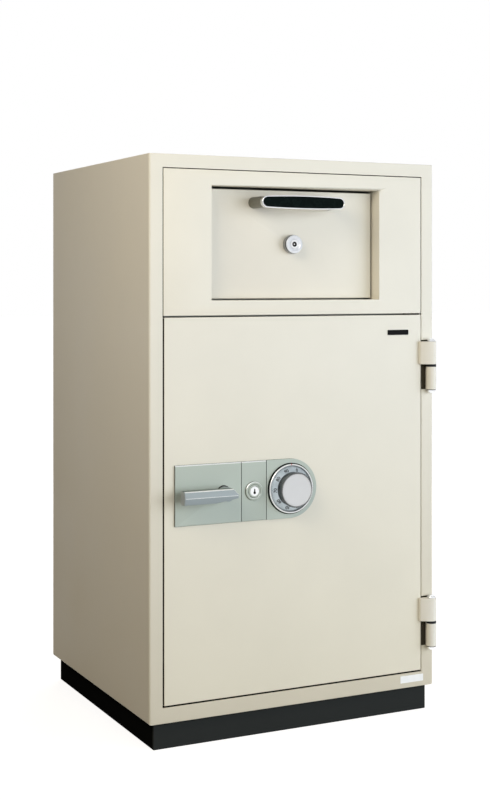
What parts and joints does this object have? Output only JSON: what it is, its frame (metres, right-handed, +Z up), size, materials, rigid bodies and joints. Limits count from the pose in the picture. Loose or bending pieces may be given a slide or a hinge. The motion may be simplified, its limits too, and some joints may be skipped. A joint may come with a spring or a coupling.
{
  "type": "fireproof drop safe",
  "caption": "Floor-standing fireproof safe with a tilting deposit hopper in its upper front, above a hinged door with lever, key lock and combination dial.",
  "frame": {"origin": "floor level, under the centre of the bounding box", "axes": "+Z up; -Y is the front, with the door and hopper; +X is right as seen from the front, the hinge side"},
  "size_m": [0.6, 0.572, 1.065],
  "materials": {
    "body_paint": "textured ivory enamel on steel sheet",
    "plinth_paint": "matt black enamel on steel sheet",
    "fire_insulation": "cast mineral fire insulation",
    "liner_paint": "satin grey enamel on steel sheet",
    "hinge_paint": "ivory grey enamel on steel",
    "lock_plate_paint": "satin sage grey enamel on steel",
    "lever_paint": "satin blue grey enamel on die-cast zinc",
    "chrome": "bright chrome plate",
    "satin_chrome": "satin chrome plate",
    "insert_black": "smooth greenish black",
    "washer_black": "black moulded",
    "door_seal": "dark flexible strip that swells with heat",
    "bright_steel": "turned and ground",
    "zinc_plate": "zinc plated",
    "die_cast_zinc": "as cast",
    "brass": "machined"
  },
  "bodies": {
    "safe_body": {"outer_shell": "body_paint", "top_plate": "body_paint", "back_plate": "body_paint", "plinth": "plinth_paint", "side_insulation": "fire_insulation", "roof_insulation": "fire_insulation", "floor_insulation": "fire_insulation", "back_insulation": "fire_insulation", "inner_liner": "liner_paint", "front_frame": "body_paint", "lintel": "liner_paint", "top_panel": "body_paint", "panel_insulation": "fire_insulation", "hopper_housing": "liner_paint", "baffle": "liner_paint", "hopper_pivot_pins": "bright_steel", "frame_hinge_knuckles": "hinge_paint", "hinge_pins": "bright_steel", "hinge_washers": "washer_black"},
    "door": {"door_skin": "body_paint", "door_insulation": "fire_insulation", "door_pan": "zinc_plate", "door_back_panel": "liner_paint", "door_back_screws": "bright_steel", "door_seal": "door_seal", "door_hinge_knuckles": "hinge_paint", "hinge_caps": "chrome", "fixed_bolts": "bright_steel", "lever_plate": "lock_plate_paint", "key_plate": "lock_plate_paint", "dial_plate": "lock_plate_paint", "dial_ring": "chrome", "key_lock_housing": "die_cast_zinc", "lock_case": "die_cast_zinc", "lock_case_cover": "zinc_plate", "bolt_guide_studs": "bright_steel"},
    "lever": {"lever_handle": "lever_paint", "lever_spindle": "bright_steel"},
    "bolt_carriage": {"bolt_bar": "zinc_plate", "live_bolts": "bright_steel"},
    "key_cylinder": {"key_cylinder": "chrome"},
    "key_tongue": {"key_tongue": "zinc_plate"},
    "dial": {"dial": "satin_chrome", "dial_knob": "satin_chrome", "dial_spindle": "bright_steel", "drive_cam": "brass"},
    "wheel_1": {"wheel_1": "brass"},
    "wheel_2": {"wheel_2": "brass"},
    "wheel_3": {"wheel_3": "brass"},
    "lock_bolt": {"lock_tongue": "brass", "fence_lever": "brass"},
    "hopper": {"hopper_plate": "body_paint", "hopper_bin": "liner_paint", "pull_frame": "chrome", "pull_insert": "insert_black", "hopper_lock_collar": "chrome", "hopper_lock_cover": "liner_paint"},
    "hopper_key": {"hopper_cylinder": "chrome"},
    "left_rod": {"left_rod": "zinc_plate"},
    "right_rod": {"right_rod": "zinc_plate"}
  },
  "joints": [
    {"name": "door_swing", "type": "hinge", "parent": "safe_body", "child": "door", "pos_m": [0.29, -0.254, 0.4523], "axis": [0, 0, 1], "range_deg": [0, 180]},
    {"name": "lever_turn", "type": "hinge", "parent": "door", "child": "lever", "pos_m": [-0.1555, -0.244, 0.4523], "axis": [0, -1, 0], "range_deg": [0, 60.01]},
    {"name": "bolt_slide", "type": "slide", "parent": "door", "child": "bolt_carriage", "axis": [-1, 0, 0], "range_m": [0, 0.02]},
    {"name": "key_turn", "type": "hinge", "parent": "door", "child": "key_cylinder", "pos_m": [-0.094, -0.244, 0.4523], "axis": [0, -1, 0], "range_deg": [0, 90.02]},
    {"name": "key_tongue_slide", "type": "slide", "parent": "door", "child": "key_tongue", "axis": [0, 0, 1], "range_m": [0, 0.00792]},
    {"name": "dial_spin", "type": "hinge", "parent": "door", "child": "dial", "pos_m": [-0.018, -0.244, 0.4523], "axis": [0, -1, 0], "continuous": true},
    {"name": "wheel_1_spin", "type": "hinge", "parent": "door", "child": "wheel_1", "pos_m": [-0.018, -0.244, 0.4523], "axis": [0, -1, 0], "continuous": true},
    {"name": "wheel_2_spin", "type": "hinge", "parent": "door", "child": "wheel_2", "pos_m": [-0.018, -0.244, 0.4523], "axis": [0, -1, 0], "continuous": true},
    {"name": "wheel_3_spin", "type": "hinge", "parent": "door", "child": "wheel_3", "pos_m": [-0.018, -0.244, 0.4523], "axis": [0, -1, 0], "continuous": true},
    {"name": "lock_tongue_slide", "type": "slide", "parent": "door", "child": "lock_bolt", "axis": [0, 0, 1], "range_m": [0, 0.009]},
    {"name": "hopper_tilt", "type": "hinge", "parent": "safe_body", "child": "hopper", "pos_m": [0, -0.208, 0.823], "axis": [1, 0, 0], "range_deg": [0, 50]},
    {"name": "hopper_key_turn", "type": "hinge", "parent": "hopper", "child": "hopper_key", "pos_m": [0, -0.217, 0.9067], "axis": [0, -1, 0], "range_deg": [-90.02, 0]},
    {"name": "right_rod_slide", "type": "slide", "parent": "hopper", "child": "right_rod", "axis": [-1, 0, 0], "range_m": [-0.0099, 0]},
    {"name": "left_rod_slide", "type": "slide", "parent": "hopper", "child": "left_rod", "axis": [1, 0, 0], "range_m": [-0.0099, 0]}
  ],
  "couplings": [
    {"joint": "lever_turn", "follows": "bolt_slide", "rad_per_m": 52.36},
    {"joint": "key_turn", "follows": "key_tongue_slide", "rad_per_m": 198.34},
    {"joint": "wheel_1_spin", "follows": "dial_spin", "ratio": 1},
    {"joint": "wheel_2_spin", "follows": "dial_spin", "ratio": 1},
    {"joint": "wheel_3_spin", "follows": "dial_spin", "ratio": 1},
    {"joint": "hopper_key_turn", "follows": "right_rod_slide", "rad_per_m": 158.67},
    {"joint": "left_rod_slide", "follows": "right_rod_slide", "ratio": 1}
  ]
}
